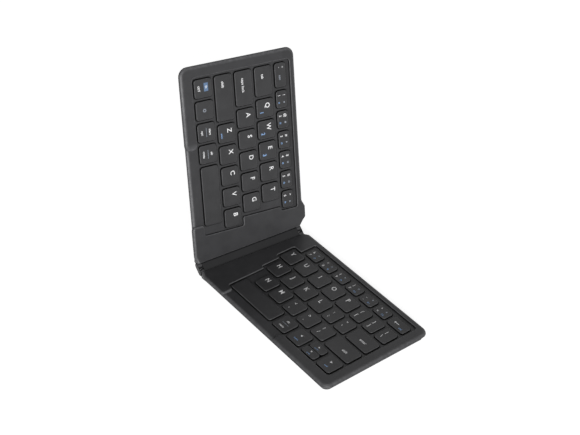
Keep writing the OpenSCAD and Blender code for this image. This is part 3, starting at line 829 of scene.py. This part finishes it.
class KeyboardCaseSizes(bpy.types.PropertyGroup):
    """Rounding of the case."""

    outer_round: length("Outer rounding", "Width of the rounding along the outer edges", 0.0024)
    far_round: length("Far rounding", "Width of the rounding along the far edge", 0.0032)
    pocket_round: length("Pocket rounding", "Width of the rounding round the deck", 0.0009)
    far_pocket_round: length("Far pocket rounding", "Width of the far rim's inner rounding", 0.0011)
    ramp: length("Ramp", "Length of the ramp at the front rim's end", 0.006)
    strip_round: length("Strip rounding", "Width of the rounding along the bare front strip", 0.003)
    hinge_round: length("Hinge rounding", "Width of the rounding along the hinge", 0.0007)
    window_lip: length("Window lip", "Rounding of the windows round the keys", 0.00025)


class KeyboardKeySizes(bpy.types.PropertyGroup):
    """Shape of the keys and their legends."""

    edge_round: length("Edge rounding", "Rounding of a key's upper edge", 0.0005)
    dish: length("Dish", "Depth of the dish in a key's top", 0.00012)
    legend_lift: length("Legend lift", "How far a legend's ink stands above its key", 0.00002)


class KeyboardFinish(bpy.types.PropertyGroup):
    """Colours of the keyboard."""

    case_colour: colour("Case", "Colour of both cases", (0.037, 0.037, 0.039))
    key_colour: colour("Keys", "Colour of the keys", (0.036, 0.036, 0.0375))
    spine_colour: colour("Spine", "Colour of the hinge's spine", (0.011, 0.011, 0.012))
    ink_colour: colour("Legends", "Colour of the legends", (0.86, 0.86, 0.87))
    accent_colour: colour("Blue legends", "Colour of the blue legends", (0.25, 0.42, 0.72))
    faint_colour: colour("Grey legends", "Colour of the grey legends", (0.3, 0.33, 0.38))
    floor_colour: colour("Floor", "Colour of the floor", (0.86, 0.86, 0.86))


# --- Operators ---


def raised_form(side, sizes):
    """Rims and hinge panel of a half as one moulding, round the deck and the open front strip. The
    left half has the charging port's ear on its back edge, with its back wall left out, for
    port_wall to fill."""
    edge = DECK_EDGE[side]
    out = (sizes.outer_round / MM, EDGE_H, 0)
    far = (sizes.far_round / MM, EDGE_H, 0)
    hinge = (sizes.hinge_round / MM, sizes.hinge_round / MM, 0)
    # A third value of 1 paints shade on the wall below the deck's rounding
    pocket = (sizes.pocket_round / MM, POCKET_H, 1)
    far_pocket = (sizes.far_pocket_round / MM, FAR_POCKET_H, 1)
    steps = []
    for v, before, after in zip(STEPS, edge, edge[1:]):
        if before != after:
            steps += [(uv((u, v)), STEP_R, pocket, 0) for u in (before, after)]
    ear = [
        (uv((EAR_TO + EAR_RUN, HALF_DEP)), EAR_FOOT_R, EAR_ROUND, 0),
        (uv((EAR_TO, HALF_DEP + EAR_H)), EAR_R, EAR_ROUND, 0),
        (uv((EAR_FROM, HALF_DEP + EAR_H)), EAR_R, EAR_ROUND, 0),
    ]
    entries = [
        ((EDGE_GAP, HINGE_FRONT), HINGE_R, out, 0),
        (uv((LEAD_FRONT, 0)), LEAD_R, out, 1),
        (uv((STRIP[0], 0)), STRIP_R[0], STRIP_END_ROUND, 0),
        (uv((STRIP[0], RIM_FRONT)), STRIP_R[1], pocket, 0),
        (uv((edge[0], RIM_FRONT)), STEP_R, pocket, 0),
        *steps,
        (uv((edge[3], DECK_V1)), STEP_R, pocket, 0),
        (uv((DECK_U1, DECK_V1)), DECK_R, far_pocket, 0),
        (uv((DECK_U1, RIM_FRONT)), DECK_R, far_pocket, 0),
        (uv((STRIP[1], RIM_FRONT)), STRIP_R[2], (sizes.ramp / MM, RAMP_H, 0), 0),
        (uv((STRIP[1], 0)), STRIP_R[3], far, 1),
        (uv((HALF_LEN, 0)), CORNER, far, 1),
        (uv((HALF_LEN, HALF_DEP)), CORNER, out, 1),
        *(ear if side == "left" else []),
        (uv((LEAD_BACK, HALF_DEP)), LEAD_R, EAR_ROUND, 0),
        ((EDGE_GAP, HINGE_FRONT + HINGE_LEN), HINGE_R, hinge, 0),
    ]
    points, faces, wear_and_painted_light = moulded_form(entries, TOP, FLOOR)
    if side == "right":
        return [(points, faces, wear_and_painted_light)]
    wall = (len(entries) - 4) * (ARC + 1) + ARC  # the lowest quad between the ear's two corners
    ends = points[[wall, wall + 1]]
    u = ends[:, 0] * math.cos(SPLAY) + ends[:, 1] * math.sin(SPLAY)
    port = port_wall(u[1], u[0], TOP - EAR_ROUND[1])
    return [(points, faces[:wall] + faces[wall + 1 :], wear_and_painted_light), port]


def tray_form(sizes):
    """The case below its deck, with the rounded front edge of the bare strip. Its other walls stand
    inside the rims. Its top is left open, and the deck's plates fill it."""
    u0, u1, v0, v1 = TRAY
    entries = [
        (uv((u0, v0)), TRAY_R, (sizes.strip_round / MM, STRIP_H, 0), 1),
        *((uv(corner), TRAY_R, HIDDEN_ROUND, 0) for corner in ((u1, v0), (u1, v1), (u0, v1))),
    ]
    return moulded_form(entries, DECK_Z, FLOOR + TRAY_GAP, closed=False, steps=8)


def deck_parts(side, sizes):
    """Deck of a half: a tile with a window for every key, and plates for the margins."""
    around = np.array([-CLEARANCE, CLEARANCE, -CLEARANCE, CLEARANCE])
    lip = sizes.window_lip / MM
    parts = [window_tile(cell, face + around, lip) for _, cell, face, _ in half_keys(side)]
    edges = [DECK_EDGE[side][0], *DECK_EDGE[side]]
    for row, (v0, v1), edge in zip(ROWS[side][::-1], BANDS, edges):
        parts.append(deck_plate(edge - NEAR_TUCK, row_end(row), v0, v1))
    parts.append(deck_plate(KEY_FAR, DECK_U1 + FAR_TUCK, BAND_ENDS[0], BAND_ENDS[-1]))
    front = TRAY[2] + float(undercut(DECK_Z - STRIP_H)) + sizes.strip_round / MM + LEDGE
    ends = (STRIP[0] - STRIP_TUCK[0], STRIP[1] + STRIP_TUCK[1])
    parts.append(deck_plate(*ends, front, BAND_ENDS[0]))
    return parts


class KEYBOARD_OT_top_frames(bpy.types.Operator):
    """Builds the upper case of each half: rims, hinge panel, sunken deck and bare front strip"""

    bl_idname = "folding_keyboard.top_frames"
    bl_label = "Upper cases"

    def execute(self, context):
        sizes = context.scene.keyboard_case
        for side in ("left", "right"):
            parts = [*raised_form(side, sizes), tray_form(sizes), *deck_parts(side, sizes)]
            material = finish_for("case_plastic", context)
            piece = add_piece(side + "_upper_case", parts, side, side + "_half", material)
            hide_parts(side + "_top_frame")
        return {"FINISHED"}


class KEYBOARD_OT_bottom_shells(bpy.types.Operator):
    """Finishes the lower shells, their feet and their screws"""

    bl_idname = "folding_keyboard.bottom_shells"
    bl_label = "Lower shells, feet and screws"

    def execute(self, context):
        for side in ("left", "right"):
            dress(side + "_bottom_shell", "case_plastic", context)
            dress(side + "_feet", "rubber", context)
            dress(side + "_screws", "steel", context)
        return {"FINISHED"}


class KEYBOARD_OT_keys(bpy.types.Operator):
    """Builds a dished cap for every key"""

    bl_idname = "folding_keyboard.keys"
    bl_label = "Keys"

    def execute(self, context):
        sizes = context.scene.keyboard_keys
        material = finish_for("key_plastic", context)
        for side in ("left", "right"):
            caps = {}
            for node, face, _ in half_caps(side):
                caps.setdefault(node, []).append(key_cap(face, sizes))
            for node, parts in caps.items():
                piece = add_piece(node.replace("key", "cap", 1), parts, side, node, material)
                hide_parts(node)
        return {"FINISHED"}


INK_ENDINGS = {"ink": "", "accent": "_blue", "faint": "_grey", "deep": "_box"}


class KEYBOARD_OT_legends(bpy.types.Operator):
    """Prints the plain letters, digits, signs and words on the keys"""

    bl_idname = "folding_keyboard.legends"
    bl_label = "Legends"

    def execute(self, context):
        sizes = context.scene.keyboard_keys
        for side in ("left", "right"):
            prints = {}
            for node, face, legends in half_caps(side):
                for legend in legends:
                    part = legend_part(legend, face, side, sizes)
                    prints.setdefault((node, legend[-1]), []).append(part)
            for (node, ink), parts in prints.items():
                name = node.replace("key", "legend", 1) + INK_ENDINGS[ink]
                piece = add_piece(name, parts, side, node, finish_for(ink, context))
        return {"FINISHED"}


def prism(ring, y0, y1):
    """A closed prism along the hinge: an anticlockwise ring of (X, Z), carried from y1 to y0."""
    return *stacked([np.insert(ring, 1, y, axis=1) for y in (y1, y0)]), 0.0


def end_cover(pin_end, spine_end):
    """Cover of one end of the hinge: a thin stadium plate beyond the pins, of half circles about
    the two pivots, and a web between the knuckles from the pins' end to the spine's."""
    right, left = RIGHT_PIVOT[[0, 2]], LEFT_PIVOT[[0, 2]]
    across = (right - left) / np.linalg.norm(right - left)
    up = np.array([-across[1], across[0]])
    turn = np.linspace(-math.pi / 2, math.pi / 2, 17)[:, None]
    arc = (np.cos(turn) * across + np.sin(turn) * up) * COVER_R
    out = math.copysign(1, pin_end - spine_end)
    face = pin_end + out * COVER_GAP
    plate = np.concatenate([right + arc, left - arc])
    plate = prism(plate, *sorted((face, pin_end + out * (COVER_GAP + COVER_T))))
    corners = np.array([[1, -1], [1, 1], [-1, 1], [-1, -1]]) * [WEB_T, WEB_H] @ [across, up]
    return [plate, prism((right + left) / 2 + corners / 2, *sorted((face, spine_end)))]


class KEYBOARD_OT_hinge(bpy.types.Operator):
    """Finishes the spine, its pins and the arms that carry it, and covers the hinge's ends"""

    bl_idname = "folding_keyboard.hinge"
    bl_label = "Hinge"

    def execute(self, context):
        dress("spine", "spine_plastic", context)
        for node in ("hinge_pins", "left_hinge_arms", "right_hinge_arms"):
            dress(node, "black_steel", context)
        material = finish_for("spine_plastic", context)
        ends = zip(("front_hinge_cover", "back_hinge_cover"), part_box("hinge_pins"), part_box("spine"))
        for name, pin_end, spine_end in ends:
            parts = end_cover(pin_end.y / MM, spine_end.y / MM)
            cover = add_piece(name, parts, "hinge", "hinge_spine", material)
        return {"FINISHED"}


class KEYBOARD_OT_inside(bpy.types.Operator):
    """Finishes what sits inside the halves and shows through the gaps"""

    bl_idname = "folding_keyboard.inside"
    bl_label = "Inside"

    def execute(self, context):
        for side in ("left", "right"):
            dress(side + "_key_plate", "steel", context)
            # Near-black switch sheet: painted shade in the gaps between the keys
            dress(side + "_switch_sheet", "switch_film_painted_shade", context)
        dress("main_board", "board_mask", context)
        dress("battery", "cell_foil", context)
        dress("charging_port", "steel", context)
        return {"FINISHED"}


FLOOR_SPAN, FLOOR_GLOW = 6.0, 0.76
SURROUND_LEVEL = 0.25
LAMP_PLACE, LAMP_SIZE, LAMP_POWER = (1.4, -0.7, 0.27), 0.9, 31.0
CAMERA_PLACE, CAMERA_LENS = (0.64182, -0.43163, 0.68308), 85.301
CAMERA_AHEAD, CAMERA_RIGHT = (-0.66546, 0.42706, -0.61219), (0.53116, 0.84716, 0.0136)
WHITE = (1, 1, 1, 1)


def seen_rays(tree):
    """1 for rays of the camera, of reflections and through glass, and 0 for all others."""
    path = put(tree, "LightPath")
    seen = path["Is Camera Ray"]
    for kind in ("Is Glossy Ray", "Is Transmission Ray"):
        seen = put(tree, "Math", {0: seen, 1: path[kind]}, operation="MAXIMUM")[0]
    return seen


class KEYBOARD_OT_stage(bpy.types.Operator):
    """Sets the pale floor, the white surroundings, the soft light and the camera"""

    bl_idname = "folding_keyboard.stage"
    bl_label = "Stage"

    def execute(self, context):
        scene = context.scene
        scene.view_settings.view_transform = "Standard"
        mesh = bpy.data.meshes.new("floor")
        corners = bar(-FLOOR_SPAN, FLOOR_SPAN, -FLOOR_SPAN, FLOOR_SPAN)
        mesh.from_pydata([(*corner, GROUND) for corner in corners], [], [(0, 1, 2, 3)])
        floor = bpy.data.objects.new("floor", mesh)
        scene.collection.objects.link(floor)
        mesh.materials.append(self.floor_material(scene.keyboard_finish.floor_colour))
        self.surroundings(scene)
        self.lamp(scene)
        self.camera(scene)
        return {"FINISHED"}

    def floor_material(self, shade):
        """Pale floor that keeps the shadow, and is lifted to white for all that seen_rays finds."""
        material, tree, place = blank_material("pale_floor")
        cloud = put(tree, "TexNoise", {"Vector": place}, {"Scale": 3.0, "Detail": 3.0})
        mask = remap(tree, cloud[0], 0.3, 0.7, 0, 1)
        tone = blend_colours(tree, mask, [part * 0.985 for part in shade], list(shade))
        matt = put(tree, "BsdfDiffuse", {"Color": tone})
        glow = put(tree, "Emission", None, {"Color": WHITE, "Strength": FLOOR_GLOW})[0]
        none = put(tree, "Emission", None, {"Strength": 0.0})[0]
        lift = put(tree, "MixShader", {0: seen_rays(tree), 1: none, 2: glow})
        both = put(tree, "AddShader", {0: matt[0], 1: lift[0]})
        put(tree, "OutputMaterial", {0: both[0]})
        return material

    def surroundings(self, scene):
        """White for the camera, reflections and glass, and a plain soft level for the light."""
        world = bpy.data.worlds.new("surroundings")
        scene.world = world
        world.use_nodes = True
        tree = world.node_tree
        tree.nodes.clear()
        links = {0: seen_rays(tree)}
        for socket, level in ((1, SURROUND_LEVEL), (2, 1.0)):
            look = {"Color": WHITE, "Strength": level}
            links[socket] = put(tree, "Background", None, look)[0]
        mixed = put(tree, "MixShader", links)
        put(tree, "OutputWorld", {0: mixed[0]})

    def lamp(self, scene):
        """A square soft lamp that faces the keyboard."""
        data = bpy.data.lights.new("soft_lamp", "AREA")
        data.size = LAMP_SIZE
        data.energy = LAMP_POWER
        lamp = bpy.data.objects.new("soft_lamp", data)
        lamp.location = LAMP_PLACE
        lamp.rotation_euler = (-Vector(LAMP_PLACE)).to_track_quat("-Z", "Y").to_euler()
        scene.collection.objects.link(lamp)

    def camera(self, scene):
        """Camera from its place and the directions of its view and of its right side."""
        data = bpy.data.cameras.new("camera")
        data.lens = CAMERA_LENS
        data.clip_start = 0.01
        camera = bpy.data.objects.new("camera", data)
        ahead = Vector(CAMERA_AHEAD).normalized()
        right = Vector(CAMERA_RIGHT)
        right = (right - ahead * right.dot(ahead)).normalized()
        turn = Matrix([right, right.cross(ahead), -ahead]).transposed()
        camera.matrix_world = Matrix.Translation(CAMERA_PLACE) @ turn.to_4x4()
        scene.collection.objects.link(camera)
        scene.camera = camera


class KEYBOARD_PT_panel(bpy.types.Panel):
    """Lists the sizes, the colours and the steps of the keyboard's making"""

    bl_idname = "KEYBOARD_PT_panel"
    bl_label = "Folding keyboard"
    bl_space_type = "VIEW_3D"
    bl_region_type = "UI"
    bl_category = "Keyboard"

    def draw(self, context):
        for name, settings in SETTINGS.items():
            box = self.layout.box()
            for key in settings.__annotations__:
                box.prop(getattr(context.scene, name), key)
        for operator in OPERATORS:
            self.layout.operator(operator.bl_idname)


SETTINGS = {
    "keyboard_case": KeyboardCaseSizes,
    "keyboard_keys": KeyboardKeySizes,
    "keyboard_finish": KeyboardFinish,
}
OPERATORS = (
    KEYBOARD_OT_stage,
    KEYBOARD_OT_top_frames,
    KEYBOARD_OT_bottom_shells,
    KEYBOARD_OT_keys,
    KEYBOARD_OT_legends,
    KEYBOARD_OT_hinge,
    KEYBOARD_OT_inside,
)


def register():
    """Registers the settings, the operators and the panel."""
    for name, settings in SETTINGS.items():
        bpy.utils.register_class(settings)
        setattr(bpy.types.Scene, name, PointerProperty(type=settings))
    for operator in (*OPERATORS, KEYBOARD_PT_panel):
        bpy.utils.register_class(operator)


def unregister():
    """Takes away all that register adds."""
    for operator in (KEYBOARD_PT_panel, *OPERATORS[::-1]):
        bpy.utils.unregister_class(operator)
    for name, settings in SETTINGS.items():
        delattr(bpy.types.Scene, name)
        bpy.utils.unregister_class(settings)


def main():
    """Registers the settings, the operators and the panel, and builds every piece in order."""
    register()
    for operator in OPERATORS:
        space, name = operator.bl_idname.split(".")
        getattr(getattr(bpy.ops, space), name)()


if __name__ == "__main__":
    main()
